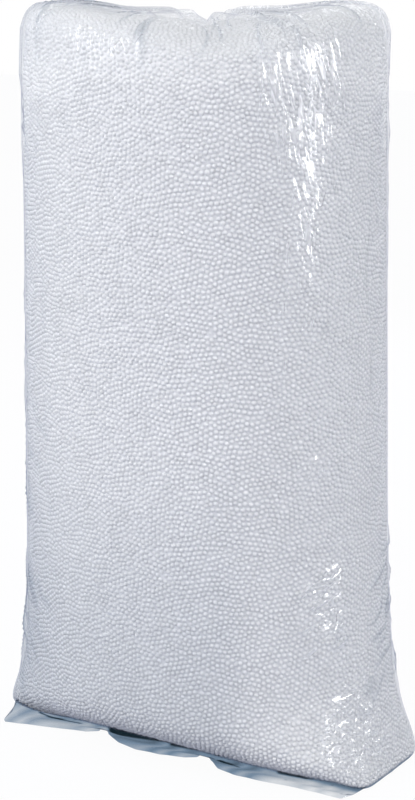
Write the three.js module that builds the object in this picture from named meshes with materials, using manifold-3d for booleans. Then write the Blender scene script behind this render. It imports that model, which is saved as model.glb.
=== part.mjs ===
import * as THREE from "three";
import Module from "manifold-3d";

const wasm = await Module();
wasm.setup();
const { smoothstep, lerp, degToRad } = THREE.MathUtils;

// Driving dimensions in millimetres: the bag faces -Y and stands on z = 0
const HEIGHT = 690; // floor to the ridge along the top
const WIDTH = 355; // side to side at half height
const DEPTH = 266; // front to back at half height
const TOP_WIDTH = 340; // side to side where the shoulders start
const TOP_DEPTH = 284; // front to back where the shoulders start
const FOOT_WIDTH = 408; // side to side on the floor, where the weld draws the film flat
const FOOT_DEPTH = 126; // front to back on the floor
const SHOULDER = 60; // height of the domed top
const FLAP = 18; // film left beyond the bottom weld
const FILM = 0.2; // thickness of the polythene
const FIT = 0.3; // clearance between pieces that touch
const NECK = 11; // diameter of the choked neck under the tie
const TAIL = 70; // gathered film past the neck
const TIE_WIDTH = 7; // width of the band round the neck
const TIE_THICK = 1.2; // thickness of that band

// Proportions of the filled shape: flat at the weld, nearly round under the gather
const SQUARENESS = 2.15; // 2 is an ellipse, higher is nearer a box
const FOOT_SQUARENESS = 8;
const FOOT_SPREAD = FOOT_WIDTH * 0.27; // height over which the ends of the foot flare
const FOOT_BULGE = FOOT_DEPTH * 0.3; // height over which the front and back bulge past the foot
const FOOT_ROLL = FOOT_DEPTH * 0.056; // radius where the wall turns under
const LEAN = new THREE.Vector2(WIDTH * -0.02, DEPTH * 0.01); // the body sits off the middle of its foot
const HEADROOM = SHOULDER * 0.1; // empty film between the beads and the ridge
const SIDE_CREASE = WIDTH * 0.014; // pressed edge of the flat film, standing off the sides
const FOOT_FOLD = FOOT_DEPTH * 0.024; // slanted folds at the two ends of the foot

// Gather at the top: its valleys run from front right to back left and meet at the neck
const GATHER_TURN = degToRad(33);
const GATHERS = 13; // folds that run into the neck
const GATHER_RISE = SHOULDER * 0.067; // height of a fold above the valley beside it
const EAR_RISE = SHOULDER * 0.133; // height of the two ears above the middle of the ridge
const GROOVE_DEPTH = NECK * 3.5; // rear valley, which the tail lies in
const GROOVE_HALF = NECK * 3.4;
const CREASE_DEPTH = NECK; // front valley, seen as a notch in the ridge
const CREASE_HALF = NECK * 0.6;
const BEAD_SLACK = NECK; // the beads keep this much further from the valleys than the film

// Mesh steps
const TURNS = 64; // columns round the film
const WALL_ROWS = 13;
const ROLL_ROWS = 3;
const DOME_STEPS = [0.95, 0.87, 0.77, 0.65, 0.52, 0.4, 0.29, 0.19, 0.11];
const TAIL_TURNS = 24;
const TAIL_ROWS = 10;
const FLAP_COLUMNS = 38;
const FLAP_ROWS = 3;

// Size, squareness and middle of the bag's outline at a height
function girth(z) {
  const foot = Math.exp(-z / FOOT_SPREAD);
  const bulge = Math.exp(-z / FOOT_BULGE);
  const top = smoothstep(z, HEIGHT * 0.4, HEIGHT - SHOULDER);
  return {
    width: WIDTH + (FOOT_WIDTH - WIDTH) * foot + (TOP_WIDTH - WIDTH) * top,
    depth: DEPTH + (FOOT_DEPTH - DEPTH) * bulge + (TOP_DEPTH - DEPTH) * top,
    squareness: lerp(SQUARENESS, FOOT_SQUARENESS, bulge ** 2),
    middle: LEAN.clone().multiplyScalar(1 - foot),
  };
}

// Point on an outline: a curve between an ellipse and a box
function outline(width, depth, squareness, turn) {
  const c = Math.cos(turn);
  const s = Math.sin(turn);
  const reach = (Math.abs(c) ** squareness + Math.abs(s) ** squareness) ** (-1 / squareness);
  return new THREE.Vector2((width / 2) * c * reach, (depth / 2) * s * reach);
}

// A bump of height 1 that falls to nothing over its half width
function bump(distance, half) {
  return Math.exp(-((distance / half) ** 2));
}

// Loose film standing off the beads on the walls: side creases and slanted folds above the foot
function wallFold(z, turn) {
  const up = z / HEIGHT;
  const [edgeHalf, tall] = [0.13, 0.09];
  const right = bump(2 * Math.sin(turn / 2), edgeHalf) * bump(up - 0.9, tall);
  const left = bump(2 * Math.cos(turn / 2), edgeHalf) * bump(up - 0.82, tall);
  const ends = Math.abs(Math.cos(turn)) ** 1.5 * bump(up - 0.13, tall);
  const slant = Math.cos(11 * turn + 26 * up * Math.sign(Math.cos(turn)));
  return SIDE_CREASE * (right + 0.8 * left) + FOOT_FOLD * ends * Math.max(0, slant) ** 2;
}

// Distance from the neck along the valleys, towards the back, and across them
function alongGather(place) {
  return -place.x * Math.sin(GATHER_TURN) + place.y * Math.cos(GATHER_TURN);
}
function acrossGather(place) {
  return place.x * Math.cos(GATHER_TURN) + place.y * Math.sin(GATHER_TURN);
}

// Height of the domed top at a fraction of the shoulder outline: its ridge lies across the valleys
function domeHeight(fraction, turn, place) {
  const flatness = 2.2 + 18 * Math.cos(turn - GATHER_TURN) ** 2;
  const ears = smoothstep(Math.abs(acrossGather(place)), TOP_WIDTH * 0.18, TOP_WIDTH * 0.38);
  const dip = EAR_RISE * (1 - ears) * (1 - fraction ** 4);
  return HEIGHT - SHOULDER + SHOULDER * (1 - fraction ** flatness) ** (1 / 2.8) - dip;
}

// Depth of the two valleys that meet at the neck
function valley(place, fraction, slack) {
  const back = alongGather(place);
  const side = acrossGather(place);
  const half = slack + GROOVE_HALF * lerp(0.5, 1, smoothstep(back, GROOVE_HALF * 0.4, GROOVE_HALF * 1.5));
  const groove = GROOVE_DEPTH * bump(Math.abs(side / half) ** 1.5, 1) * (1 - fraction ** 4);
  const cusp = Math.exp(-Math.abs(side) / (CREASE_HALF + slack));
  const crease = CREASE_DEPTH * cusp * (1 - smoothstep(fraction, 0.3, 0.8));
  return lerp(crease, groove, smoothstep(back, -2.5 * NECK, 0));
}

// Folds that run into the neck, strongest a short way out from it
function gatherFold(fraction, turn) {
  const wave = Math.cos(GATHERS * turn + 0.9 * Math.sin(3 * turn + 1) + 0.5 * Math.cos(5 * turn));
  const strength = smoothstep(fraction, 0.02, 0.25) * (1 - smoothstep(fraction, 0.3, 0.9));
  return GATHER_RISE * strength * (0.5 + 0.5 * wave) ** 1.5;
}

// Rows of the walls from the floor to the shoulders, with loose film or without
function wallRows(turns, loose) {
  const levels = [];
  for (let k = 0; k < ROLL_ROWS; k++) {
    const angle = (k / ROLL_ROWS) * (Math.PI / 2);
    levels.push({ z: FOOT_ROLL * (1 - Math.cos(angle)), inset: FOOT_ROLL * (1 - Math.sin(angle)) });
  }
  for (let k = 0; k <= WALL_ROWS; k++) {
    levels.push({ z: lerp(FOOT_ROLL, HEIGHT - SHOULDER, (k / WALL_ROWS) ** 1.5), inset: 0 });
  }
  return levels.map(({ z, inset }) => {
    const size = girth(z);
    return turns.map((turn) => {
      const at = outline(size.width - 2 * inset, size.depth - 2 * inset, size.squareness, turn);
      if (loose) at.setLength(at.length() + wallFold(z, turn));
      return new THREE.Vector3(at.x + size.middle.x, at.y + size.middle.y, z);
    });
  });
}

// Rows of the top from the shoulders to a ring round the neck
function domeRows(turns, heightAt) {
  const size = girth(HEIGHT - SHOULDER);
  return [...DOME_STEPS, 0].map((fraction) =>
    turns.map((turn) => {
      const edge = outline(size.width, size.depth, size.squareness, turn);
      const ring = new THREE.Vector2(Math.cos(turn), Math.sin(turn)).multiplyScalar(NECK * 0.6);
      const place = edge.multiplyScalar(fraction).lerp(ring, 1 - smoothstep(fraction, 0, 0.35));
      const z = heightAt(fraction, turn, place);
      place.addScaledVector(size.middle, fraction);
      return new THREE.Vector3(place.x, place.y, z);
    }),
  );
}

// Closed surface through rings of points, each ring turning the same way
function loft(rings) {
  const count = rings[0].length;
  const middles = [rings[0], rings[rings.length - 1]].map((ring) =>
    ring.reduce((sum, p) => sum.add(p), new THREE.Vector3()).divideScalar(count),
  );
  const points = [...rings.flat(), ...middles];
  const [first, last] = [points.length - 2, points.length - 1];
  const index = [];
  for (let i = 0; i < count; i++) {
    const next = (i + 1) % count;
    index.push(first, next, i);
    for (let j = 0; j + 1 < rings.length; j++) {
      const [a, b] = [j * count + i, j * count + next];
      const [c, d] = [a + count, b + count];
      const rising = points[a].distanceTo(points[d]) < points[b].distanceTo(points[c]);
      index.push(...(rising ? [a, b, d, a, d, c] : [a, b, c, b, d, c]));
    }
    const top = (rings.length - 1) * count;
    index.push(last, top + i, top + next);
  }
  const geometry = new THREE.BufferGeometry().setFromPoints(points);
  geometry.setIndex(index);
  geometry.computeVertexNormals();
  return geometry;
}

// The same surface moved inwards: every face moves by the distance, so sharp folds keep their wall
function shrunk(geometry, distance) {
  const copy = geometry.clone();
  const at = copy.getAttribute("position");
  const faces = [];
  for (let i = 0; i < copy.index.count; i += 3) {
    const corners = [0, 1, 2].map((k) => copy.index.getX(i + k));
    const triangle = new THREE.Triangle().setFromAttributeAndIndices(at, ...corners);
    faces.push({ corners, normal: triangle.getNormal(new THREE.Vector3()) });
  }
  const around = Array.from({ length: at.count }, () => []);
  faces.forEach(({ corners, normal }) => corners.forEach((corner) => around[corner].push(normal)));
  around.forEach((normals, i) => {
    const mean = normals.reduce((sum, n) => sum.add(n), new THREE.Vector3()).normalize();
    const steepest = Math.min(...normals.map((n) => n.dot(mean)));
    const step = mean.multiplyScalar(-distance / Math.max(steepest, 0.4));
    at.setXYZ(i, at.getX(i) + step.x, at.getY(i) + step.y, at.getZ(i) + step.z);
  });
  return copy;
}

function solid(geometry) {
  return new wasm.Manifold(
    new wasm.Mesh({
      numProp: 3,
      vertProperties: new Float32Array(geometry.getAttribute("position").array),
      triVerts: new Uint32Array(geometry.index.array),
    }),
  );
}

function surface(body) {
  const { vertProperties, triVerts, numProp } = body.getMesh();
  const points = [];
  for (let i = 0; i < vertProperties.length; i += numProp) {
    points.push(new THREE.Vector3(vertProperties[i], vertProperties[i + 1], vertProperties[i + 2]));
  }
  const geometry = new THREE.BufferGeometry().setFromPoints(points);
  geometry.setIndex(Array.from(triVerts));
  geometry.computeVertexNormals();
  return geometry;
}

function turnsOf(count) {
  return Array.from({ length: count }, (_, i) => (i / count) * 2 * Math.PI);
}

// Filled body of the bag, outside and inside of the film
const filmTurns = turnsOf(TURNS);
const bodyOutside = loft([
  ...wallRows(filmTurns, true),
  ...domeRows(filmTurns, (fraction, turn, place) => {
    const sunk = valley(place, fraction, 0);
    const fold = gatherFold(fraction, turn) * (1 - sunk / GROOVE_DEPTH);
    return domeHeight(fraction, turn, place) - sunk + fold;
  }),
]);
const bodyInside = shrunk(bodyOutside, FILM);

// Neck and tail: a low slope through the tie, then along the rear valley
const back = new THREE.Vector3(-Math.sin(GATHER_TURN), Math.cos(GATHER_TURN), 0);
const neckFloor = HEIGHT - EAR_RISE - GROOVE_DEPTH;
function tailPoint(along, rise) {
  return new THREE.Vector3(0, 0, neckFloor + rise).addScaledVector(back, along);
}
const neckStep = TIE_WIDTH * 1.25;
const neckSlope = 0.62;
const tailPath = new THREE.CatmullRomCurve3([
  ...[-0.5, 1, 2, 3].map((steps) => tailPoint(neckStep * steps, neckStep * steps * neckSlope)),
  tailPoint(TAIL * 0.56, GROOVE_DEPTH * 0.42),
  tailPoint(TAIL * 0.8, GROOVE_DEPTH * 0.36),
  tailPoint(TAIL * 1.04, GROOVE_DEPTH * 0.32),
]);

// Rings along the tail: round at the tie, a pleated fan at the mouth
function tailRings(wallAt) {
  const across = new THREE.Vector3(-back.y, back.x, 0);
  return Array.from({ length: TAIL_ROWS }, (_, k) => {
    const s = k / (TAIL_ROWS - 1);
    const middle = tailPath.getPoint(s);
    const up = new THREE.Vector3().crossVectors(tailPath.getTangent(s), across);
    const open = smoothstep(s, 0.36, 1);
    const halfAcross = lerp(NECK / 2, TAIL * 0.25, open) - wallAt(s);
    const halfThick = NECK * lerp(0.5, 0.45, open);
    return turnsOf(TAIL_TURNS).map((turn) => {
      const pleat = 1 + 0.3 * open * Math.cos(8 * turn + 2 * Math.sin(turn));
      return middle
        .clone()
        .addScaledVector(across, Math.cos(turn) * halfAcross)
        .addScaledVector(up, Math.sin(turn) * (halfThick * pleat - wallAt(s)));
    });
  });
}

// The same rings with both ends drawn out past the first and last
function overrun(rings, share) {
  const stretch = (end, inner) => end.map((p, i) => p.clone().lerp(inner[i], -share));
  const [first, second] = rings;
  const [before, last] = rings.slice(-2);
  return [stretch(first, second), ...rings.slice(1, -1), stretch(last, before)];
}
// The neck is packed film with a pinhole down it, and the fan is single film
const boreWall = (s) => lerp(NECK * 0.4, FILM * 1.3, smoothstep(s, 0.4, 0.6));
const tailOutside = loft(tailRings(() => 0));
const tailInside = loft(overrun(tailRings(boreWall), 0.3));

// Double film beyond the bottom weld: three waves on the floor, each drawn in at its right end
const flapWaves = [
  { from: -0.5, to: -0.16, start: 1.8, end: 0.5 },
  { from: -0.16, to: 0.1, start: 1.1, end: 0.35 },
  { from: 0.1, to: 0.49, start: 1.2, end: 0.75 },
];
function flapPoint(x, out, above) {
  const share = x / FOOT_WIDTH;
  const wave = flapWaves.find(({ to }) => share <= to) ?? flapWaves[2];
  const along = (share - wave.from) / (wave.to - wave.from);
  const reach = FLAP * lerp(wave.start, wave.end, along ** 2) * smoothstep(along, -0.35, 0.15);
  const rise = FLAP * (0.05 + 0.12 * smoothstep(along, 0.5, 1));
  const z = FILM + rise * Math.sin(Math.PI * out ** 2) + FOOT_ROLL * 0.6 * (1 - out) ** 2 + above;
  return new THREE.Vector3(x * (1 - 0.05 * out), -FOOT_DEPTH / 2 + FOOT_ROLL - (reach + FOOT_ROLL) * out, z);
}
const flapRings = Array.from({ length: FLAP_COLUMNS + 1 }, (_, k) => {
  const x = FOOT_WIDTH * lerp(flapWaves[2].to, flapWaves[0].from, k / FLAP_COLUMNS);
  const outs = Array.from({ length: FLAP_ROWS + 1 }, (_, j) => j / FLAP_ROWS);
  const under = outs.map((out) => flapPoint(x, out, 0));
  const over = outs.toReversed().map((out) => flapPoint(x, out, 2 * FILM));
  return [...under, ...over];
});
const flap = loft(flapRings);

const filmSolid = solid(bodyOutside)
  .add(solid(tailOutside))
  .add(solid(flap))
  .subtract(solid(bodyInside))
  .subtract(solid(tailInside));

// Beads: one settled mass that fills the film, lower under the gather
const beadTurns = turnsOf(TURNS / 2);
const beadGap = FILM + FIT * 2.5;
const beads = shrunk(
  loft([
    ...wallRows(beadTurns, false),
    ...domeRows(beadTurns, (fraction, turn, place) => {
      const sag = HEADROOM * (1 - fraction ** 12) + HEADROOM * (1 - smoothstep(fraction, 0, 0.5));
      return domeHeight(fraction, turn, place) - valley(place, fraction, BEAD_SLACK) - sag;
    }),
  ]),
  beadGap,
);

// Tie: a band round the neck with a rounded edge
const tieInner = NECK / 2 + FIT;
const tieProfile = new THREE.Shape();
tieProfile.moveTo(tieInner, -TIE_WIDTH / 2);
tieProfile.lineTo(tieInner + TIE_THICK * 0.6, -TIE_WIDTH / 2);
tieProfile.lineTo(tieInner + TIE_THICK, -TIE_WIDTH / 2 + TIE_THICK * 0.5);
tieProfile.lineTo(tieInner + TIE_THICK, TIE_WIDTH / 2 - TIE_THICK * 0.5);
tieProfile.lineTo(tieInner + TIE_THICK * 0.6, TIE_WIDTH / 2);
tieProfile.lineTo(tieInner, TIE_WIDTH / 2);
tieProfile.closePath();
const tie = new THREE.LatheGeometry(tieProfile.getPoints(), 28);
tie.rotateX(Math.PI / 2);
const tieAt = 0.27;

// Named pieces
const bag = new THREE.Group();
function piece(name, geometry, look) {
  const mesh = new THREE.Mesh(geometry, new THREE.MeshStandardMaterial(look));
  mesh.name = name;
  bag.add(mesh);
  return mesh;
}
piece("film_bag", surface(filmSolid), { color: 0xdfe6ee, roughness: 0.15, transparent: true, opacity: 0.3 });
piece("bead_fill", beads, { color: 0xf1f3f6, roughness: 0.8 });
const band = piece("neck_tie", tie, { color: 0xe9ebee, roughness: 0.5 });
band.position.copy(tailPath.getPoint(tieAt));
band.quaternion.setFromUnitVectors(new THREE.Vector3(0, 0, 1), tailPath.getTangent(tieAt));

export default bag;
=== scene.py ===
"""A clear film bag full of white foam beads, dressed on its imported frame."""
import math

import bpy
import numpy as np
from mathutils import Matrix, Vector


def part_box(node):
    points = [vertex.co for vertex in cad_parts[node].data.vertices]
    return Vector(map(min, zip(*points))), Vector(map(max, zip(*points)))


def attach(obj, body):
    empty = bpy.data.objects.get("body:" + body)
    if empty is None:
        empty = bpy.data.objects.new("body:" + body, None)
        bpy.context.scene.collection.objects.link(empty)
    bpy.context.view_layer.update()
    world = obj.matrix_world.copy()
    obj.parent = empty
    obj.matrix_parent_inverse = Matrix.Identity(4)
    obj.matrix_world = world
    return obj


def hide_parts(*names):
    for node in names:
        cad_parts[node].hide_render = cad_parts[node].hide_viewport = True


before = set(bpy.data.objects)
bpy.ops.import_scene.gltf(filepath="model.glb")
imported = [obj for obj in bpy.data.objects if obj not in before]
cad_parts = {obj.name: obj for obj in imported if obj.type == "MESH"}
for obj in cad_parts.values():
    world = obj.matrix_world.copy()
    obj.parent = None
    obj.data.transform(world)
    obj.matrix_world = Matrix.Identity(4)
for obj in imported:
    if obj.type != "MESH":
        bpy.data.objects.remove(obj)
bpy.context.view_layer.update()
rng = np.random.default_rng(7)

# Sizes in metres, from the frame's boxes
film_low, film_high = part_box("film_bag")
fill_low, fill_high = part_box("bead_fill")
across = film_high.x - film_low.x
through = fill_high.y - fill_low.y
HEIGHT = film_high.z
WIDTH = across * 0.8735
DEPTH = through * 0.943
TOP_WIDTH = across * 0.8366
TOP_DEPTH = through * 1.0067
FOOT_WIDTH = across * 1.004
FOOT_DEPTH = through * 0.4466
SHOULDER = HEIGHT * 0.087
FLAP = HEIGHT * 0.0261
NECK = HEIGHT * 0.01594
TAIL = HEIGHT * 0.1014
TIE_WIDTH = HEIGHT * 0.01014
FILM = HEIGHT * 0.0003
BEAD = HEIGHT * 0.0068
MM = HEIGHT / 690

# Proportions of the filled shape: flat at the weld, nearly round under the gather
SQUARENESS = 2.15
FOOT_SQUARENESS = 8
FOOT_SPREAD = FOOT_WIDTH * 0.27
FOOT_BULGE = FOOT_DEPTH * 0.3
FOOT_ROLL = FOOT_DEPTH * 0.056
LEAN = np.array([WIDTH * -0.02, DEPTH * 0.01])
HEADROOM = SHOULDER * 0.1
SIDE_CREASE = WIDTH * 0.014
FOOT_FOLD = FOOT_DEPTH * 0.024
GATHER_TURN = math.radians(33)
GATHERS = 13
GATHER_RISE = SHOULDER * 0.067
EAR_RISE = SHOULDER * 0.133
GROOVE_DEPTH = NECK * 3.5
GROOVE_HALF = NECK * 3.4
CREASE_DEPTH = NECK * 0.5
CREASE_HALF = NECK * 0.6
BEAD_SLACK = NECK
BEAD_GAP = MM * 0.5
BEAD_RISE = 0.35
FOOT_LIFT = FLAP * 0.8
FOOT_CURL = FOOT_BULGE * 0.38
# Heights where the film creases most, with half spans and how much closer its rows lie there
CLOSE_ROWS = ((0.06, 0.06, 1.2), (0.25, 0.08, 1.5), (0.89, 0.08, 1.2))

# Camera, fitted to the outline of the photograph
PHOTO_SIZE = (415, 800)
SENSOR = 36
FOCAL_PIXELS = 1900
CAMERA_TURN = math.radians(33)
CAMERA_DISTANCE = HEIGHT * 2.51
CAMERA_HEIGHT = HEIGHT * 1.0565
AIM = Vector((HEIGHT * -0.0116, HEIGHT * -0.0072, HEIGHT * 0.4732))
PAN = 0.005

# Mesh steps
FILM_COLUMNS = 376
FILM_WALL_ROWS = 175
FILM_DOME_ROWS = 52
SKIN_COLUMNS = 256
SKIN_WALL_ROWS = 120
SKIN_DOME_ROWS = 40
ROLL_ROWS = 5
BASE_ROWS = 6
BEAD_SIDES = 6
BEAD_BANDS = 4
PACK_STEPS = 60

# Colours, as shares of red, green and blue
BEAD_SHADE = (0.40, 0.42, 0.48)
BEAD_WHITE = (0.975, 0.975, 0.98)
FILM_FACE_ON = (0.985, 0.988, 0.995)
FILM_EDGE_ON = (0.70, 0.72, 0.83)
# Tint of layered film and of painted shade in the film
FILM_LAYERED_AND_SHADED = (0.19, 0.275, 0.38)
# Painted shadow in the slits under the lifted front edge
FILM_SLIT_SHADOW = (0.008, 0.02, 0.03)
FILM_MILK = (0.93, 0.94, 0.97)
TIE_GREY = (0.8, 0.82, 0.84)
FLOOR_GREY = (0.32, 0.34, 0.43)
SKY_LOW = (0.975, 0.975, 0.975)
SKY_HIGH = (0.24, 0.25, 0.26)


def smoothstep(x, low, high):
    t = np.clip((x - low) / (high - low), 0, 1)
    return t * t * (3 - 2 * t)


def mix(a, b, t):
    return a + (b - a) * t


def bump(distance, half):
    return np.exp(-((distance / half) ** 2))


def degrees_from(turns, centre):
    """Angle of each turn from a centre in degrees, between -180 and 180."""
    return np.degrees((turns - math.radians(centre) + math.pi) % (2 * math.pi) - math.pi)


# Shape of the filled bag
def girth(z):
    foot = np.exp(-z / FOOT_SPREAD)
    bulge = np.exp(-z / FOOT_BULGE)
    top = smoothstep(z, HEIGHT * 0.4, HEIGHT - SHOULDER)
    width = WIDTH + (FOOT_WIDTH - WIDTH) * foot + (TOP_WIDTH - WIDTH) * top
    depth = DEPTH + (FOOT_DEPTH - DEPTH) * bulge + (TOP_DEPTH - DEPTH) * top
    squareness = mix(SQUARENESS, FOOT_SQUARENESS, bulge**2)
    return width, depth, squareness, 1 - foot


def outline(width, depth, squareness, turn):
    c, s = np.cos(turn), np.sin(turn)
    reach = (np.abs(c) ** squareness + np.abs(s) ** squareness) ** (-1 / squareness)
    return width / 2 * c * reach, depth / 2 * s * reach


def wall_fold(z, turn):
    up = z / HEIGHT
    right = bump(2 * np.sin(turn / 2), 0.13) * bump(up - 0.9, 0.09)
    left = bump(2 * np.cos(turn / 2), 0.13) * bump(up - 0.82, 0.09)
    ends = np.abs(np.cos(turn)) ** 1.5 * bump(up - 0.13, 0.09)
    slant = np.cos(11 * turn + 26 * up * np.sign(np.cos(turn)))
    return SIDE_CREASE * (right + 0.8 * left) + FOOT_FOLD * ends * np.maximum(0, slant) ** 2


def rounded_foot(rows):
    """The rows with the front of the foot rolled up and out over the flap."""
    x, y, z = np.moveaxis(rows, -1, 0)
    share = x / FOOT_WIDTH
    middle = smoothstep(share, -0.4, -0.1) * (1 - 0.45 * smoothstep(share, 0.06, 0.25))
    front = middle * (1 - smoothstep(share, 0.42, 0.5)) * np.clip(-y / (FOOT_DEPTH / 2), 0, 1) ** 3
    out = (DEPTH - FOOT_DEPTH) / 2 * (np.exp(-z / FOOT_BULGE) - np.exp(-z / FOOT_CURL))
    return np.stack([x, y - front * out, z + FOOT_LIFT * front * np.exp(-z / FOOT_SPREAD)], axis=-1)


def along_gather(x, y):
    return -x * math.sin(GATHER_TURN) + y * math.cos(GATHER_TURN)


def across_gather(x, y):
    return x * math.cos(GATHER_TURN) + y * math.sin(GATHER_TURN)


def dome_height(f, turn, x, y):
    flatness = 2.2 + 18 * np.cos(turn - GATHER_TURN) ** 2
    ears = smoothstep(np.abs(across_gather(x, y)), TOP_WIDTH * 0.18, TOP_WIDTH * 0.38)
    dip = EAR_RISE * (1 - ears) * (1 - f**4)
    return HEIGHT - SHOULDER + SHOULDER * (1 - f**flatness) ** (1 / 2.8) - dip


def valley(x, y, f, slack):
    back, side = along_gather(x, y), across_gather(x, y)
    half = slack + GROOVE_HALF * mix(0.5, 1, smoothstep(back, GROOVE_HALF * 0.4, GROOVE_HALF * 1.5))
    groove = GROOVE_DEPTH * np.exp(-np.abs(side / half) ** 3) * (1 - f**4)
    cusp = np.exp(-np.abs(side) / (CREASE_HALF + slack))
    crease = CREASE_DEPTH * cusp * (1 - smoothstep(f, 0.3, 0.8))
    return mix(crease, groove, smoothstep(back, -2.5 * NECK, 0))


def gather_fold(f, turn):
    wave = np.cos(GATHERS * turn + 0.9 * np.sin(3 * turn + 1) + 0.5 * np.cos(5 * turn))
    strength = smoothstep(f, 0.02, 0.25) * (1 - smoothstep(f, 0.3, 0.9))
    return GATHER_RISE * strength * (0.5 + 0.5 * wave) ** 1.5


def body_rows(turns, wall_rows, dome_rows, loose):
    """Grid of points from the middle of the base to the neck, as loose film or as settled beads."""
    turn = turns[None, :]
    angle = np.linspace(0, math.pi / 2, ROLL_ROWS, endpoint=False)
    fine = np.linspace(FOOT_ROLL, HEIGHT - SHOULDER, 500)
    dense = 0.6 + sum(much * bump(fine / HEIGHT - up, half) for up, half, much in CLOSE_ROWS)
    passed = (np.cumsum(dense) - dense[0]) / (dense.sum() - dense[0])
    wall = np.interp(np.linspace(0, 1, wall_rows), passed, fine)
    z = np.concatenate([FOOT_ROLL * (1 - np.cos(angle)), wall])
    inset = np.concatenate([FOOT_ROLL * (1 - np.sin(angle)), np.zeros(wall_rows)])
    z, inset = z[:, None], inset[:, None]
    width, depth, squareness, risen = girth(z)
    x, y = outline(width - 2 * inset, depth - 2 * inset, squareness, turn)
    if loose:
        grown = 1 + wall_fold(z, turn) / np.hypot(x, y)
        x, y = x * grown, y * grown
    walls = np.stack([x + LEAN[0] * risen, y + LEAN[1] * risen, z + 0 * x], axis=-1)
    shares = np.linspace(0.002, 1, BASE_ROWS, endpoint=False)[:, None, None]
    base = walls[:1] * np.concatenate([shares, shares, shares * 0 + 1], axis=-1)
    base, walls = rounded_foot(base), rounded_foot(walls)
    f = (1 - np.linspace(0, 1, dome_rows + 1)[1:, None]) ** 0.8
    width, depth, squareness, risen = girth(np.array(HEIGHT - SHOULDER))
    x, y = outline(width, depth, squareness, turn)
    pull = 1 - smoothstep(f, 0, 0.35)
    x = mix(x * f, NECK * 0.6 * np.cos(turn), pull)
    y = mix(y * f, NECK * 0.6 * np.sin(turn), pull)
    top = dome_height(f, turn, x, y)
    if loose:
        sunk = valley(x, y, f, 0)
        top = top - sunk + gather_fold(f, turn) * (1 - sunk / GROOVE_DEPTH)
    else:
        sag = HEADROOM * (1 - f**12) + HEADROOM * (1 - smoothstep(f, 0, 0.5))
        top = top - valley(x, y, f, BEAD_SLACK * BEAD_RISE) - sag * BEAD_RISE
    dome = np.stack([x + LEAN[0] * risen * f, y + LEAN[1] * risen * f, top], axis=-1)
    return np.concatenate([base, walls, dome])


def grid_normals(points):
    """Outward normals of a grid that is closed along its columns."""
    around = np.roll(points, -1, axis=1) - np.roll(points, 1, axis=1)
    up = np.gradient(points, axis=0)
    normal = np.cross(around, up)
    return normal / np.maximum(np.linalg.norm(normal, axis=-1, keepdims=True), 1e-12)


def grid_faces(rows, columns, closed=True):
    """Four-sided faces of a grid of points, row by row."""
    j, i = np.meshgrid(np.arange(rows - 1), np.arange(columns if closed else columns - 1), indexing="ij")
    after = (i + 1) % columns
    corners = [j * columns + i, j * columns + after, (j + 1) * columns + after, (j + 1) * columns + i]
    return np.stack(corners, axis=-1).reshape(-1, 4)


def mesh_object(name, points, faces, material, **values):
    """A smooth mesh, with one number at each point for every named value."""
    mesh = bpy.data.meshes.new(name)
    sides = faces.shape[1]
    mesh.vertices.add(len(points))
    mesh.vertices.foreach_set("co", points.astype(np.float32).ravel())
    mesh.loops.add(faces.size)
    mesh.loops.foreach_set("vertex_index", faces.astype(np.int32).ravel())
    mesh.polygons.add(len(faces))
    mesh.polygons.foreach_set("loop_start", np.arange(0, faces.size, sides, dtype=np.int32))
    mesh.polygons.foreach_set("use_smooth", np.ones(len(faces), dtype=bool))
    mesh.update(calc_edges=True)
    for key, numbers in values.items():
        layer = mesh.attributes.new(key, "FLOAT", "POINT")
        layer.data.foreach_set("value", numbers.astype(np.float32).ravel())
    mesh.materials.append(material)
    obj = bpy.data.objects.new(name, mesh)
    bpy.context.scene.collection.objects.link(obj)
    return obj


# Materials
def new_material(name):
    material = bpy.data.materials.new(name)
    material.use_nodes = True
    material.node_tree.nodes.clear()
    return material, material.node_tree.nodes, material.node_tree.links


def attribute_node(nodes, name):
    node = nodes.new("ShaderNodeAttribute")
    node.attribute_name = name
    return node.outputs["Fac"]


def colour_mix(nodes, links, factor, low, high):
    """Colour between two colours by a factor socket."""
    node = nodes.new("ShaderNodeMix")
    node.data_type = "RGBA"
    links.new(factor, node.inputs["Factor"])
    for socket, value in ((node.inputs[6], low), (node.inputs[7], high)):
        if isinstance(value, tuple):
            socket.default_value = (*value, 1)
        else:
            links.new(value, socket)
    return node.outputs[2]


def span(nodes, links, value, low, high):
    """Share of the way from low to high, held between 0 and 1."""
    node = nodes.new("ShaderNodeMapRange")
    node.inputs["From Min"].default_value = low
    node.inputs["From Max"].default_value = high
    links.new(value, node.inputs["Value"])
    return node.outputs[0]


def math_node(nodes, links, operation, a, b):
    node = nodes.new("ShaderNodeMath")
    node.operation = operation
    for socket, value in ((node.inputs[0], a), (node.inputs[1], b)):
        if isinstance(value, (int, float)):
            socket.default_value = value
        else:
            links.new(value, socket)
    return node.outputs[0]


def bead_material():
    material, nodes, links = new_material("foam_beads")
    shader = nodes.new("ShaderNodeBsdfPrincipled")
    # The tone attribute carries each bead's own tone and its painted highlight and shade
    colour = colour_mix(nodes, links, attribute_node(nodes, "tone"), BEAD_SHADE, BEAD_WHITE)
    links.new(colour, shader.inputs["Base Color"])
    shader.inputs["Roughness"].default_value = 0.16
    shader.inputs["Specular IOR Level"].default_value = 0.5
    out = nodes.new("ShaderNodeOutputMaterial")
    links.new(shader.outputs[0], out.inputs["Surface"])
    return material


def vector_node(nodes, links, operation, a, b):
    node = nodes.new("ShaderNodeVectorMath")
    node.operation = operation
    second = node.inputs["Scale"] if operation == "SCALE" else node.inputs[1]
    for socket, value in ((node.inputs[0], a), (second, b)):
        if isinstance(value, tuple):
            socket.default_value = value
        else:
            links.new(value, socket)
    return node.outputs["Value" if operation == "DOT_PRODUCT" else "Vector"]


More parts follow.
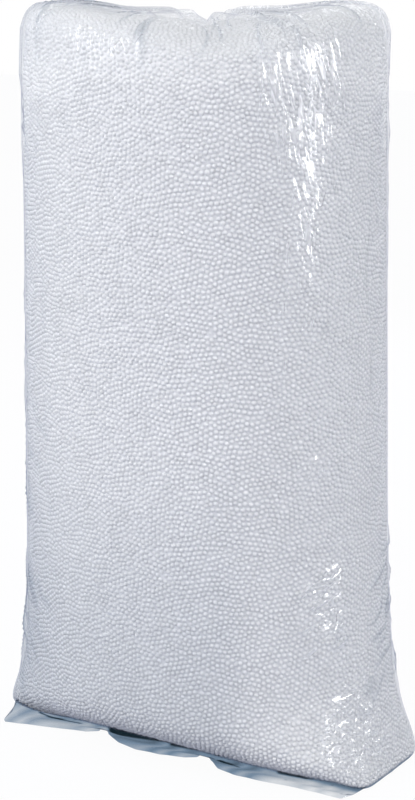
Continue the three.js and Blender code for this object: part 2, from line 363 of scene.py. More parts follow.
def streaks(nodes, links, slant, step, drawn_out, detail):
    """Ridged ripples of the film, drawn out along a slant across the front of the bag."""
    a = math.radians(slant)
    way = (math.cos(CAMERA_TURN) * math.cos(a), math.sin(CAMERA_TURN) * math.cos(a), math.sin(a))
    place = nodes.new("ShaderNodeTexCoord").outputs["Object"]
    along = vector_node(nodes, links, "DOT_PRODUCT", place, way)
    along = math_node(nodes, links, "MULTIPLY", along, drawn_out)
    noise = nodes.new("ShaderNodeTexNoise")
    noise.inputs["Scale"].default_value = 1 / step
    noise.inputs["Detail"].default_value = detail
    drawn = vector_node(nodes, links, "SUBTRACT", place, vector_node(nodes, links, "SCALE", way, along))
    links.new(drawn, noise.inputs["Vector"])
    off_middle = math_node(nodes, links, "SUBTRACT", noise.outputs[0], 0.5)
    return math_node(nodes, links, "ABSOLUTE", off_middle, 0)


def film_material():
    material, nodes, links = new_material("clear_film")
    facing = nodes.new("ShaderNodeLayerWeight")
    facing.inputs["Blend"].default_value = 0.35
    # Bluer at grazing angles: partly the longer path through the film, partly a painted reflection of darker
    # surroundings
    thin = math_node(nodes, links, "POWER", facing.outputs["Facing"], 5)
    tint = colour_mix(nodes, links, thin, FILM_FACE_ON, FILM_EDGE_ON)
    clear = nodes.new("ShaderNodeBsdfTransparent")
    # The shade attribute tints the film towards layered film and painted shade, and past 0.7 towards the
    # painted shadow of the slits
    shade = attribute_node(nodes, "shade")
    layered_and_shaded = span(nodes, links, shade, 0, 0.7)
    slit_shadow = span(nodes, links, shade, 0.7, 1)
    tint = colour_mix(nodes, links, layered_and_shaded, tint, FILM_LAYERED_AND_SHADED)
    links.new(colour_mix(nodes, links, slit_shadow, tint, FILM_SLIT_SHADOW), clear.inputs["Color"])
    milky = nodes.new("ShaderNodeBsdfDiffuse")
    milky.inputs["Color"].default_value = (*FILM_MILK, 1)
    height = nodes.new("ShaderNodeSeparateXYZ")
    links.new(nodes.new("ShaderNodeTexCoord").outputs["Object"], height.inputs[0])
    creased = nodes.new("ShaderNodeMix")
    upper = span(nodes, links, height.outputs["Z"], HEIGHT * 0.35, HEIGHT * 0.5)
    links.new(upper, creased.inputs["Factor"])
    links.new(streaks(nodes, links, 18, 8 * MM, 0.92, 0), creased.inputs[2])
    links.new(streaks(nodes, links, 105, 9 * MM, 0.8, 1), creased.inputs[3])
    slack = attribute_node(nodes, "slack")
    # Painted highlight: whiter lines along the ripples where the film is loose, in place of glints
    painted_fold_highlight = span(nodes, links, creased.outputs[0], 0.03, 0.008)
    painted_fold_highlight = math_node(nodes, links, "MULTIPLY", painted_fold_highlight, span(nodes, links, slack, 0.5, 1.5))
    haze = math_node(nodes, links, "MULTIPLY", thin, 0.1)
    haze = math_node(nodes, links, "ADD", haze, attribute_node(nodes, "milk"))
    haze = math_node(nodes, links, "ADD", haze, math_node(nodes, links, "MULTIPLY", painted_fold_highlight, 0.7))
    haze = math_node(nodes, links, "MULTIPLY", haze, math_node(nodes, links, "SUBTRACT", 1, layered_and_shaded))
    veil = nodes.new("ShaderNodeMixShader")
    links.new(haze, veil.inputs[0])
    links.new(clear.outputs[0], veil.inputs[1])
    links.new(milky.outputs[0], veil.inputs[2])
    ripple = nodes.new("ShaderNodeBump")
    ripple.inputs["Distance"].default_value = 6 * MM
    links.new(slack, ripple.inputs["Strength"])
    links.new(creased.outputs[0], ripple.inputs["Height"])
    gloss = nodes.new("ShaderNodeBsdfGlossy")
    gloss.inputs["Roughness"].default_value = 0.07
    links.new(ripple.outputs[0], gloss.inputs["Normal"])
    fresnel = nodes.new("ShaderNodeFresnel")
    fresnel.inputs["IOR"].default_value = 1.5
    links.new(ripple.outputs[0], fresnel.inputs["Normal"])
    blend = nodes.new("ShaderNodeMixShader")
    out = nodes.new("ShaderNodeOutputMaterial")
    links.new(math_node(nodes, links, "MINIMUM", fresnel.outputs[0], 0.12), blend.inputs[0])
    links.new(veil.outputs[0], blend.inputs[1])
    links.new(gloss.outputs[0], blend.inputs[2])
    links.new(blend.outputs[0], out.inputs["Surface"])
    return material


def tie_material():
    material, nodes, links = new_material("tie_plastic")
    shader = nodes.new("ShaderNodeBsdfPrincipled")
    shader.inputs["Base Color"].default_value = (*TIE_GREY, 1)
    shader.inputs["Roughness"].default_value = 0.4
    out = nodes.new("ShaderNodeOutputMaterial")
    links.new(shader.outputs[0], out.inputs["Surface"])
    return material


# Beads: a relaxed random packing on the settled surface
# Area of a bead's place in squares of its width, scatter, spread of sizes, push, ease and longest move
BEAD_PLACE = 0.955
BEAD_SCATTER = 0.4
BEAD_SPREAD = 0.08
PUSH = 0.45
EASE = 0.6
LONGEST_MOVE = 0.02
# Tone of the beads, its spread, and the painted highlight on the tips where the surface faces up
BEAD_TONE = 0.8
TONE_SPREAD = 0.03
PAINTED_TIP_LIGHT = 0.36


class Skin:
    """A surface read by turn (0 to 1, closed) and by row (0 to 1)."""

    def __init__(self, points):
        self.points = points
        self.rows, self.columns = points.shape[:2]
        self.normals = grid_normals(points)
        self.around = (np.roll(points, -1, axis=1) - np.roll(points, 1, axis=1)) * self.columns / 2
        self.up = np.gradient(points, axis=0) * (self.rows - 1)
        self.area = np.linalg.norm(np.cross(self.around, self.up), axis=-1)

    def read(self, field, u, v):
        a, b = (u % 1) * self.columns, np.clip(v, 0, 1) * (self.rows - 1)
        i = np.floor(a).astype(int) % self.columns
        j = np.minimum(np.floor(b).astype(int), self.rows - 2)
        s, t = (a - np.floor(a))[:, None], (b - j)[:, None]
        k = (i + 1) % self.columns
        low = mix(field[j, i], field[j, k], s)
        high = mix(field[j + 1, i], field[j + 1, k], s)
        return mix(low, high, t)


def close_pairs(points, reach):
    """Index pairs of points closer than reach, found cell by cell."""
    cells = np.floor(points / reach).astype(np.int64)
    cells -= cells.min(axis=0)
    spans = cells.max(axis=0) + 3
    strides = np.array([spans[1] * spans[2], spans[2], 1])
    keys = (cells + 1) @ strides
    order = np.argsort(keys, kind="stable")
    ranked = keys[order]
    firsts, seconds = [], []
    for shift in np.ndindex(3, 3, 3):
        step = (np.array(shift) - 1) @ strides
        if step < 0:
            continue
        start = np.searchsorted(ranked, keys + step, "left")
        count = np.searchsorted(ranked, keys + step, "right") - start
        first = np.repeat(np.arange(len(points)), count)
        offset = np.arange(count.sum()) - np.repeat(np.cumsum(count) - count, count)
        second = order[np.repeat(start, count) + offset]
        keep = (first < second) | (step > 0)
        firsts.append(first[keep])
        seconds.append(second[keep])
    first, second = np.concatenate(firsts), np.concatenate(seconds)
    near = ((points[first] - points[second]) ** 2).sum(axis=1) < reach**2
    return first[near], second[near]


def spread_points(skin, count):
    """Turn and row of points spread evenly over a surface along a golden spiral."""
    row_area = skin.area.sum(axis=1)
    row_sum = np.concatenate([[0], np.cumsum((row_area[1:] + row_area[:-1]) / 2)])
    step = np.arange(count) + 0.5
    v = np.interp(step / count, row_sum / row_sum[-1], np.linspace(0, 1, skin.rows))
    share = (step * (math.sqrt(5) - 1) / 2) % 1
    nearest = np.round(v * (skin.rows - 1)).astype(int)
    u = np.zeros(count)
    for row in range(skin.rows):
        here = nearest == row
        around_sum = np.concatenate([[0], np.cumsum(skin.area[row])])
        passed = around_sum / around_sum[-1]
        u[here] = np.interp(share[here], passed, np.linspace(0, 1, skin.columns + 1))
    return u, v


def pack_beads(skin):
    """Turn, row and radius of beads that settle side by side on a surface."""
    area = skin.area.sum() / (skin.columns * (skin.rows - 1))
    count = int(area / (BEAD**2 * BEAD_PLACE))
    u, v = spread_points(skin, count)
    u = u + rng.normal(0, BEAD_SCATTER, count) * BEAD / (2 * (WIDTH + DEPTH) * 0.785)
    radius = BEAD / 2 * np.clip(rng.normal(1, BEAD_SPREAD, count), 0.8, 1.22)
    for step in range(PACK_STEPS):
        spread = mix(1.3, 1.05, min(1, step / (0.7 * PACK_STEPS)))
        place = skin.read(skin.points, u, v)
        first, second = close_pairs(place, BEAD * 1.1 * spread)
        apart = place[second] - place[first]
        distance = np.maximum(np.linalg.norm(apart, axis=1), 1e-6)
        short = np.maximum(0, (radius[first] + radius[second]) * spread - distance)
        push = apart * (PUSH * short / distance)[:, None]
        move = np.zeros_like(place)
        for axis in range(3):
            move[:, axis] += np.bincount(second, push[:, axis], count)
            move[:, axis] -= np.bincount(first, push[:, axis], count)
        around, up = skin.read(skin.around, u, v), skin.read(skin.up, u, v)
        uu, vv, uv = (around**2).sum(1), (up**2).sum(1), (around * up).sum(1)
        mu, mv = (move * around).sum(1), (move * up).sum(1)
        det = np.maximum(uu * vv - uv**2, 1e-12)
        u = u + np.clip((mu * vv - mv * uv) / det, -LONGEST_MOVE, LONGEST_MOVE) * EASE
        rise = np.clip((mv * uu - mu * uv) / det, -LONGEST_MOVE, LONGEST_MOVE) * EASE
        v = np.clip(v + rise, 0, 1)
    return u, v, radius


def bead_domes(centres, normals, radius):
    """Half spheres that face outwards, each a tip and two rings, and the painted highlight and shade at each
    point, as if lit from above.
    """
    count = len(centres)
    helper = np.where(np.abs(normals[:, 2:]) < 0.9, [[0, 0, 1.0]], [[1.0, 0, 0]])
    right = np.cross(helper, normals)
    right /= np.linalg.norm(right, axis=1, keepdims=True)
    top = np.cross(normals, right)
    spin = rng.random((count, 1)) * 2 * math.pi
    points = [centres + normals * radius[:, None]]
    # Painted highlight on the tip where the surface faces up
    level = np.maximum(normals[:, 2], 0)
    painted_lights = [level * PAINTED_TIP_LIGHT]
    for ring, polar in enumerate((math.radians(42), math.radians(88))):
        for k in range(BEAD_SIDES):
            angle = spin + 2 * math.pi * (k + ring / 2) / BEAD_SIDES
            flat = right * np.cos(angle) + top * np.sin(angle)
            way = normals * math.cos(polar) + flat * math.sin(polar)
            points.append(centres + way * radius[:, None])
            # Painted light and shade: each ring lighter on its upper side and darker below, the outer ring
            # darker still
            turned = flat[:, 2] * (1 - level)
            light, dark = (1.2 - 0.9 * ring) * turned**2, (0.3 + 0.4 * ring) * turned
            crescent = np.where(turned > 0, light, dark)
            crescent -= 0.35 * ring * (1 - level)
            painted_lights.append(crescent + level * (way[:, 2] - (1 - PAINTED_TIP_LIGHT) * normals[:, 2]))
    points = np.stack(points, axis=1)
    faces = []
    for k in range(BEAD_SIDES):
        after = (k + 1) % BEAD_SIDES
        faces.append((0, 1 + k, 1 + after))
        faces.append((1 + k, 1 + BEAD_SIDES + k, 1 + after))
        faces.append((1 + after, 1 + BEAD_SIDES + k, 1 + BEAD_SIDES + after))
    faces = np.array(faces)[None] + (np.arange(count) * (1 + 2 * BEAD_SIDES))[:, None, None]
    return points.reshape(-1, 3), faces.reshape(-1, 3), np.stack(painted_lights, axis=1)


def build_beads():
    material = bead_material()
    turns = np.linspace(0, 2 * math.pi, SKIN_COLUMNS, endpoint=False)
    skin = Skin(body_rows(turns, SKIN_WALL_ROWS, SKIN_DOME_ROWS, False))
    u, v, radius = pack_beads(skin)
    place = skin.read(skin.points, u, v)
    normal = skin.read(skin.normals, u, v)
    normal /= np.linalg.norm(normal, axis=1, keepdims=True)
    sunk = radius + BEAD_GAP + np.abs(rng.normal(0, 0.08, len(radius))) * BEAD
    centres = place - normal * sunk[:, None]
    tone = rng.normal(BEAD_TONE, TONE_SPREAD, len(radius))
    pieces = []
    edges = np.quantile(centres[:, 2], np.linspace(0, 1, BEAD_BANDS + 1))
    for band in range(BEAD_BANDS):
        last = band == BEAD_BANDS - 1
        part = (centres[:, 2] >= edges[band]) & (centres[:, 2] < edges[band + 1] + last)
        points, faces, painted_light = bead_domes(centres[part], normal[part], radius[part])
        aside, behind = normal[part][:, :1], normal[part][:, 1:2]
        # Painted contrast: the painted highlight and shade are stronger on the right and back, weaker on the
        # left front
        painted_contrast = 0.13 + 0.26 * smoothstep(aside, 0, 0.7) + 0.2 * smoothstep(behind, 0.2, 0.8)
        painted_contrast = painted_contrast - 0.06 * smoothstep(-aside, 0.4, 0.8) * (behind < 0)
        tones = np.clip(tone[part][:, None] + painted_contrast * painted_light, 0, 1)
        pieces.append(mesh_object(f"beads_{band + 1}", points, faces, material, tone=tones))
    core = (skin.points - skin.normals * (BEAD_GAP + BEAD * 0.5))[:, ::2]
    tip = np.repeat(core[-1:].mean(axis=1, keepdims=True), core.shape[1], axis=1)
    core = np.concatenate([core, tip])
    rows, columns = core.shape[:2]
    plain = np.full(rows * columns, BEAD_TONE)
    faces = grid_faces(rows, columns)
    pieces.append(mesh_object("bead_core", core.reshape(-1, 3), faces, material, tone=plain))
    return pieces


# Film: creases laid on the sheet by a seeded draw, zone by zone
# Each zone: number of creases, turns and heights of their middles, slant in degrees,
# then half length, half width and height in millimetres
CREASE_ZONES = (
    (36, (-46, -14), (0.83, 0.95), (96, 112), (8, 26), 1.7, 1.1),
    (26, (-42, -18), (0.58, 0.80), (60, 130), (6, 18), 2.0, 0.7),
    (4, (-32, -26), (0.42, 0.45), (0, 20), (6, 14), 1.5, 1.4),
    (16, (-35, -20), (0.18, 0.325), (6, 24), (8, 18), 1.5, 1.7),
    (24, (-26, -6), (0.03, 0.13), (8, 34), (6, 16), 1.7, 2.6),
    (26, (-4, 40), (0.10, 0.30), (8, 38), (12, 40), 2.4, 1.8),
    (34, (-165, -122), (0.05, 0.50), (-55, -25), (14, 50), 2.0, 1.7),
    (16, (-150, -120), (0.45, 0.93), (75, 105), (20, 60), 2.2, 1.8),
    (16, (-5, 30), (0.40, 0.90), (70, 110), (15, 60), 2.6, 1.0),
    (60, (30, 200), (0.05, 0.93), (0, 180), (14, 55), 2.6, 1.0),
    (80, (-180, 180), (0.965, 1.09), (78, 102), (14, 40), 2.0, 2.4),
    (3, (13, 22), (0.82, 0.93), (84, 96), (30, 60), 1.8, 2.2),
    (6, (-152, -130), (0.82, 0.97), (80, 100), (30, 60), 1.7, 2.8),
    (1, (-93, -91), (0.935, 0.94), (-26, -22), (34, 36), 1.4, 1.6),
)
# Loose places, where the film ripples: turn and height, half spans of both, and how much
SLACK_ZONES = (
    (-30, 0.91, 12, 0.06, 1.9),
    (-30, 0.74, 6, 0.09, 0.8),
    (-29, 0.435, 3, 0.014, 1.2),
    (-27, 0.25, 9, 0.06, 1.2),
    (-19, 0.12, 6, 0.02, 1.8),
    (-14, 0.07, 9, 0.025, 2.0),
    (-31, 0.06, 6, 0.035, 2.4),
    (-16, 0.02, 7, 0.015, 2.2),
    (-92, 0.95, 12, 0.02, 0.7),
    (20, 0.90, 14, 0.08, 0.6),
    (22, 0.22, 16, 0.09, 0.6),
    (-142, 0.30, 16, 0.25, 0.45),
    (115, 0.55, 60, 0.5, 0.3),
    (-57, 0.99, 90, 0.03, 0.5),
)
# Film corners that stand off the shoulders: turn, half turn, and rise as a share of the shoulder
CORNERS = ((17, 8, 0.1), (-150, 9, 0.05), (-128, 6, 0.05))


def crease_field(arc, rise):
    """Height of the creases over a sheet of arc lengths and rises, and nearness to a crest."""
    height, crest = np.zeros_like(arc), np.zeros_like(arc)
    radius = (WIDTH + DEPTH) / 4
    for count, turns, heights, slants, lengths, half, tall in CREASE_ZONES:
        for _ in range(count):
            a0 = math.radians(rng.uniform(*turns)) * radius
            r0 = rng.uniform(*heights) * HEIGHT
            slant = math.radians(rng.uniform(*slants))
            reach = rng.uniform(*lengths) * MM
            bend = rng.normal(0, 0.15) / reach
            width = half * rng.uniform(0.7, 1.4) * MM
            rises = tall * rng.uniform(0.4, 1.2) * MM
            across_sheet = (arc - a0 + math.pi * radius) % (2 * math.pi * radius) - math.pi * radius
            along = across_sheet * math.cos(slant) + (rise - r0) * math.sin(slant)
            off = (rise - r0) * math.cos(slant) - across_sheet * math.sin(slant) - bend * along**2
            fade = np.maximum(0, 1 - (along / reach) ** 2) ** 1.5
            height += rises * np.exp(-np.abs(off) / width) * fade
            crest += bump(off, 1.6 * MM) * fade
    return height, np.minimum(crest, 1)


# Turns in degrees of the side in view and of its right and left edges
VIEW_TURN = -32
RIGHT_TURN = 15
LEFT_TURN = -148
# How much painted shade darkens the crests of the film: away from the side in view, at its edges and on top
WALL_CREST = 0.05
EDGE_CREST = 0.32
TOP_CREST = 0.32
# Ripple of tight film and of the loosest film
TIGHT = 0.04
LOOSEST = 2.2


def sheet(points, shade, slack, milk, closed=True):
    """Points, faces and values of one part of the film."""
    rows, columns = points.shape[:2]
    faces = grid_faces(rows, columns, closed)
    return points.reshape(-1, 3), faces, shade.ravel(), slack.ravel(), milk.ravel()


def film_shade(points, turns, crest, facing, dome):
    """How much the film darkens what lies behind it, mostly painted shade: darker crests, a painted shadow
    line along the floor, darker towards the bottom and to the left, and on top partly the gathered layers.
    """
    x, z = points[..., 0], points[..., 2]
    away = degrees_from(turns, LEFT_TURN)
    edge = bump(degrees_from(turns, RIGHT_TURN), 30)[None, :] * bump(z / HEIGHT - 0.2, 0.16)
    edge = edge + bump(away, 20)[None, :] * bump(z / HEIGHT - 0.25, 0.28)
    low_right = smoothstep(x / FOOT_WIDTH, 0.2, 0.3)
    low = 1 - smoothstep(z, HEIGHT * 0.12, HEIGHT * 0.5)
    left = smoothstep(-x / WIDTH, 0.1, 0.4)
    # Darker crests: painted shade in the folds, strongest at the edges in view and on top
    shade = mix(WALL_CREST * (1 - facing) + EDGE_CREST * edge, TOP_CREST, dome) * crest
    # Painted shadow along the floor: a faint band, and a dark line where the film meets it, darkest on the
    # right
    shade += 0.02 * np.exp(-z / (26 * MM))
    shade += mix(0.2, 0.62, low_right) * bump(z, 2.5 * MM)
    # On top: partly the gathered layers, partly painted shade, more on the left
    shade += (0.02 + 0.06 * left) * dome
    # Painted shade: darker towards the bottom, less on the right
    shade += 0.07 * low * (1 - 0.85 * low_right)
    # Painted shade towards the left edge
    shade += 0.05 * bump(away, 24)[None, :] * (1 - dome)
    return shade


def film_slack(points, turns):
    """How much the film ripples, by the loose places."""
    up = points[..., 2] / HEIGHT
    slack = np.full_like(up, TIGHT)
    for turn, middle, half_turn, half_up, much in SLACK_ZONES:
        slack += much * bump(degrees_from(turns, turn), half_turn)[None, :] * bump(up - middle, half_up)
    return slack


def corner_rise(points, turns):
    """How far the film corners stand off the shoulders."""
    near = bump(points[..., 2] - HEIGHT + SHOULDER * 0.22, SHOULDER * 0.35)
    rise = np.zeros_like(near)
    for turn, half_turn, much in CORNERS:
        corner = np.exp(-np.abs(degrees_from(turns, turn) / half_turn))[None, :]
        rise += SHOULDER * much * corner * near
    return rise


def build_film_body():
    """The filled film, with its columns closer together on the side in view."""
    s = np.linspace(0, 2 * math.pi, FILM_COLUMNS, endpoint=False)
    front = CAMERA_TURN - math.pi / 2
    turns = s - 0.4 * np.sin(s - front)
    points = body_rows(turns, FILM_WALL_ROWS, FILM_DOME_ROWS, True)
    normals = grid_normals(points)
    rise = np.cumsum(np.linalg.norm(np.diff(points, axis=0, prepend=points[:1]), axis=-1), axis=0)
    rise -= rise[BASE_ROWS + ROLL_ROWS]
    arc = np.broadcast_to(turns * (WIDTH + DEPTH) / 4, rise.shape)
    height, crest = crease_field(arc, rise)
    on_wall = smoothstep(points[..., 2], 0, 20 * MM)
    crest = crest * on_wall
    height = height * on_wall + corner_rise(points, turns)
    facing = bump(degrees_from(turns, VIEW_TURN), 34)[None, :]
    dome = smoothstep(points[..., 2], HEIGHT - SHOULDER * 0.9, HEIGHT - SHOULDER * 0.3)
    shade = film_shade(points, turns, crest, facing, dome)
    slack = np.minimum(film_slack(points, turns) + height / (4 * MM), LOOSEST)
    points = points + normals * height[..., None]
    neck = bump(np.hypot(points[..., 0], points[..., 1]), NECK * 1.3) * (points[..., 2] > HEIGHT / 2)
    # Whiter film: painted highlight lines on the crests in view, the gathered layers on top, and the bunched
    # neck
    milk = 0.3 * crest * facing + 0.16 * dome + mix(0.06, 0.6, neck)
    return sheet(points, shade, slack, milk)


# Double film beyond the bottom weld: its outer edge, as shares of the foot's width and reach in flap depths
FLAP_EDGE = (
    (-0.456, 0.0), (-0.445, 1.7), (-0.433, 2.0), (-0.363, 1.55), (-0.288, 1.1), (-0.227, 0.7), (-0.187, 0.1),
    (-0.153, 0.6), (-0.124, 0.95), (-0.067, 1.2), (-0.003, 1.05), (0.055, 0.67), (0.093, 0.1), (0.121, 0.35),
    (0.151, 0.9), (0.2, 1.13), (0.261, 1.05), (0.337, 0.8), (0.411, 0.7), (0.466, 0.7), (0.475, 0.0),
)
# Shade along the flap, partly its double layer and partly painted shade, and the painted shadows in the
# slits under the lifted edge: start, end, reach at both, half thickness
FLAP_SHADES = (
    (-0.46, 0.58), (-0.2, 0.5), (-0.16, 0.74), (0.08, 0.64),
    (0.13, 0.74), (0.24, 0.66), (0.3, 0.36), (0.48, 0.26),
)
FLAP_SLIT_SHADOWS = (
    (-0.37, -0.24, 0.2, -0.1, 0.12),
    (-0.185, -0.01, -0.45, -0.7, 0.95),
    (-0.02, 0.06, -0.65, -0.5, 0.5),
    (0.1, 0.15, -0.8, -0.7, 0.45),
    (0.125, 0.195, 0.1, 0.2, 0.24),
    (0.27, 0.36, -0.65, -0.55, 0.5),
)


def build_flap():
    columns, rows = 230, 26
    inner = -1.6
    share = np.linspace(FLAP_EDGE[-1][0], FLAP_EDGE[0][0], columns)[None, :]
    reach = np.interp(share, *zip(*FLAP_EDGE))
    out = inner + (reach - inner) * np.linspace(0, 1, rows)[:, None]
    past = np.maximum(out, 0) / np.maximum(reach, 0.3)
    facet = np.abs((26 * share + 1.3 * past + 0.6 * np.sin(31 * share)) % 2 - 1)
    x = FOOT_WIDTH * share * (1 - 0.01 * out)
    y = -FOOT_DEPTH / 2 - FLAP * out
    z = FILM * 2 + FLAP * (0.12 * np.sin(math.pi * past**2) + 0.1 * facet * past * (1.2 - past))
    ear = 1 - smoothstep(share, -0.456, -0.34)
    z = z + FLAP * 0.75 * ear * (1 - past) ** 2
    points = np.stack([x, y, z], axis=-1)
    # Shade along the flap, partly its double layer and partly painted shade, with painted light and shade on
    # its facets and darker towards the bag
    shade = np.interp(share, *zip(*FLAP_SHADES)) + 0.2 * (facet - 0.5) + 0.1 * (0.5 - past)
    # Painted shadow where the flap runs under the belly
    shade = mix(shade, 0.8, smoothstep(-out, 0.1, 0.7) * smoothstep(share, -0.4, -0.2))
    # Painted shadows: near-black slits under the lifted edge of the bag
    for left, right, low, high, half in FLAP_SLIT_SHADOWS:
        along = (share - left) / (right - left)
        taper = smoothstep(along, -0.08, 0.12) * np.clip(1 - along, 0, 1) ** 0.7
        thick = np.maximum(half * taper, 1e-3)
        dark = 1 - smoothstep(np.abs(out - mix(low, high, along)), thick * 0.7, thick * 1.1)
        shade = mix(shade, 1, dark)
    shade = np.clip(shade, 0, 1)
    slack, milk = np.full_like(shade, 0.35), np.full_like(shade, 0.06)
    return sheet(points, shade, slack, milk, closed=False)


# Gathered film past the tie, lying in the rear valley
def path_through(knots, count):
    """Points along a smooth path through the knots."""
    padded = np.concatenate([[2 * knots[0] - knots[1]], knots, [2 * knots[-1] - knots[-2]]])
    t = np.linspace(0, len(knots) - 1, count)
    i = np.minimum(t.astype(int), len(knots) - 2)
    s = (t - i)[:, None]
    a, b, c, d = (padded[i + k] for k in range(4))
    return 0.5 * (2 * b + (c - a) * s + (2 * a - 5 * b + 4 * c - d) * s**2 + (3 * b - a - 3 * c + d) * s**3)


def build_tail():
    rows, columns = 40, 96
    back = np.array([-math.sin(GATHER_TURN), math.cos(GATHER_TURN), 0])
    side = np.array([-back[1], back[0], 0])
    floor = HEIGHT - EAR_RISE - GROOVE_DEPTH
    neck_step, slope = TIE_WIDTH * 1.25, 0.62
    knots = [(neck_step * k, neck_step * k * slope) for k in (-0.5, 1, 2, 3)]
    knots += [(TAIL * a, GROOVE_DEPTH * b) for a, b in ((0.56, 0.42), (0.8, 0.36), (1.04, 0.32))]
    knots = np.array([back * a + [0, 0, floor + b] for a, b in knots])
    middle = path_through(knots, rows)[:, None, :]
    heading = np.gradient(middle[:, 0], axis=0)
    heading /= np.linalg.norm(heading, axis=1, keepdims=True)
    up = np.cross(heading, side)[:, None, :]
    s = np.linspace(0, 1, rows)[:, None]
    opened = smoothstep(s, 0.42, 1)
    turn = np.linspace(0, 2 * math.pi, columns, endpoint=False)[None, :]
    half_across = mix(NECK / 2, TAIL * 0.25, opened)
    pleat = 1 + 0.3 * opened * np.cos(8 * turn + 2 * np.sin(turn)) + 0.12 * opened * np.cos(23 * turn)
    pleat = pleat - 0.06 * (1 - opened) * (0.5 + 0.5 * np.cos(18 * turn))
    half_thick = NECK * mix(0.5, 0.45, opened) * pleat
    sideways = side * (np.cos(turn) * half_across)[..., None]
    upwards = up * (np.sin(turn) * half_thick)[..., None]
    points = middle + sideways + upwards
    shade = np.broadcast_to(0.2 - 0.12 * opened, points.shape[:2])
    slack = np.full(points.shape[:2], 0.3)
    milk = np.broadcast_to(0.6 - 0.4 * opened, points.shape[:2])
    return sheet(points, shade, slack, milk)


def build_film():
    """The whole bag as one sheet: filled body, flap and tail."""
    parts = [build_film_body(), build_flap(), build_tail()]
    firsts = np.cumsum([0] + [len(part[0]) for part in parts[:-1]])
    points = np.concatenate([part[0] for part in parts])
    faces = np.concatenate([part[1] + first for part, first in zip(parts, firsts)])
    shade, slack, milk = (np.concatenate([part[k] for part in parts]) for k in (2, 3, 4))
    return mesh_object("film", points, faces, film_material(), shade=shade, slack=slack, milk=milk)


# Floor, light and camera
def build_floor():
    material, nodes, links = new_material("pale_floor")
    matte = nodes.new("ShaderNodeBsdfDiffuse")
    matte.inputs["Color"].default_value = (*FLOOR_GREY, 1)
    glow = nodes.new("ShaderNodeEmission")
    glow.inputs["Strength"].default_value = 1.065
    path = nodes.new("ShaderNodeLightPath")
    share = math_node(nodes, links, "MULTIPLY", path.outputs["Is Camera Ray"], 0.9)
    blend = nodes.new("ShaderNodeMixShader")
    out = nodes.new("ShaderNodeOutputMaterial")
    links.new(share, blend.inputs[0])
    links.new(matte.outputs[0], blend.inputs[1])
    links.new(glow.outputs[0], blend.inputs[2])
    links.new(blend.outputs[0], out.inputs["Surface"])
    size = HEIGHT * 12
    corners = np.array([[-size, -size, 0], [size, -size, 0], [size, size, 0], [-size, size, 0]])
    mesh_object("floor", corners, np.array([[0, 1, 2, 3]]), material)


def build_world():
    world = bpy.data.worlds.new("studio")
    bpy.context.scene.world = world
    world.use_nodes = True
    nodes, links = world.node_tree.nodes, world.node_tree.links
    nodes.clear()
    place = nodes.new("ShaderNodeTexCoord")
    split = nodes.new("ShaderNodeSeparateXYZ")
    links.new(place.outputs["Generated"], split.inputs[0])
    ramp = nodes.new("ShaderNodeMapRange")
    ramp.inputs["From Min"].default_value = 0.1
    ramp.inputs["From Max"].default_value = 0.9
    links.new(split.outputs["Z"], ramp.inputs["Value"])
    soft = nodes.new("ShaderNodeBackground")
    sky = colour_mix(nodes, links, ramp.outputs[0], SKY_LOW, SKY_HIGH)
    links.new(sky, soft.inputs["Color"])
    soft.inputs["Strength"].default_value = 1.32
    white = nodes.new("ShaderNodeBackground")
    white.inputs["Color"].default_value = (1, 1, 1, 1)
    path = nodes.new("ShaderNodeLightPath")
    blend = nodes.new("ShaderNodeMixShader")
    out = nodes.new("ShaderNodeOutputWorld")
    seen = math_node(nodes, links, "MAXIMUM", path.outputs["Is Camera Ray"], path.outputs["Is Glossy Ray"])
    seen = math_node(nodes, links, "MAXIMUM", seen, path.outputs["Is Transmission Ray"])
    links.new(seen, blend.inputs[0])
    links.new(soft.outputs[0], blend.inputs[1])
    links.new(white.outputs[0], blend.inputs[2])
    links.new(blend.outputs[0], out.inputs["Surface"])


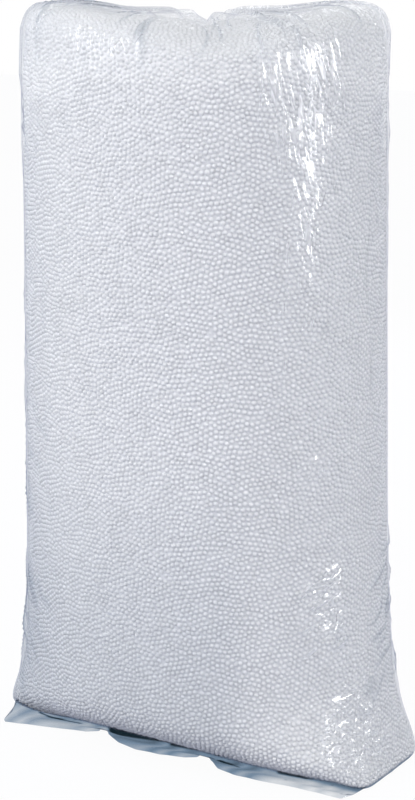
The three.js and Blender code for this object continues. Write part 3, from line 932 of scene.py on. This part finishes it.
def area_light(name, turn, rise, distance, size, power):
    """A soft box that faces the middle of the bag, from a turn and rise in degrees."""
    light = bpy.data.lights.new(name, "AREA")
    light.shape = "RECTANGLE"
    light.size, light.size_y = size
    light.energy = power
    obj = bpy.data.objects.new(name, light)
    bpy.context.scene.collection.objects.link(obj)
    a, e = math.radians(turn), math.radians(rise)
    middle = Vector((0, 0, HEIGHT / 2))
    way = Vector((math.sin(a) * math.cos(e), -math.cos(a) * math.cos(e), math.sin(e)))
    obj.location = middle + way * distance
    obj.rotation_euler = way.to_track_quat("Z", "Y").to_euler()
    return obj


STRIP_DISTANCE = 2.2


def build_lights():
    area_light("key", -28, 30, 1.5, (1.5, 1.2), 12.5).visible_glossy = False
    area_light("fill", 82, 20, 2.4, (1.2, 1.2), 11)
    area_light("rear", 192, 24, 2.0, (0.9, 1.2), 8)
    for name, turn, rise, size, power in (
        ("right_strip", 88, 13, (0.2, 1.0), 21),
        ("right_bank", 88, 25, (0.8, 0.45), 20),
        ("left_strip", -43, 30, (0.4, 1.0), 8),
    ):
        area_light(name, turn, rise, STRIP_DISTANCE, size, power).visible_diffuse = False


def build_camera():
    camera = bpy.data.cameras.new("camera")
    camera.lens = FOCAL_PIXELS * SENSOR / max(PHOTO_SIZE)
    camera.sensor_width = SENSOR
    obj = bpy.data.objects.new("camera", camera)
    bpy.context.scene.collection.objects.link(obj)
    back = Vector((math.sin(CAMERA_TURN), -math.cos(CAMERA_TURN), 0)) * CAMERA_DISTANCE
    eye = Vector((AIM.x, AIM.y, 0)) + back + Vector((0, 0, CAMERA_HEIGHT))
    forward = (AIM - eye).normalized()
    forward += forward.cross(Vector((0, 0, 1))).normalized() * PAN
    obj.location = eye
    obj.rotation_euler = forward.to_track_quat("-Z", "Y").to_euler()
    bpy.context.scene.camera = obj


bpy.context.scene.view_settings.view_transform = "Standard"
build_floor()
build_world()
build_lights()
build_camera()

beads = build_beads()
for piece in beads:
    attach(piece, "root")
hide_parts("bead_fill")
film = build_film()
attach(film, "root")
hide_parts("film_bag")
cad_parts["neck_tie"].data.materials.clear()
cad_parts["neck_tie"].data.materials.append(tie_material())
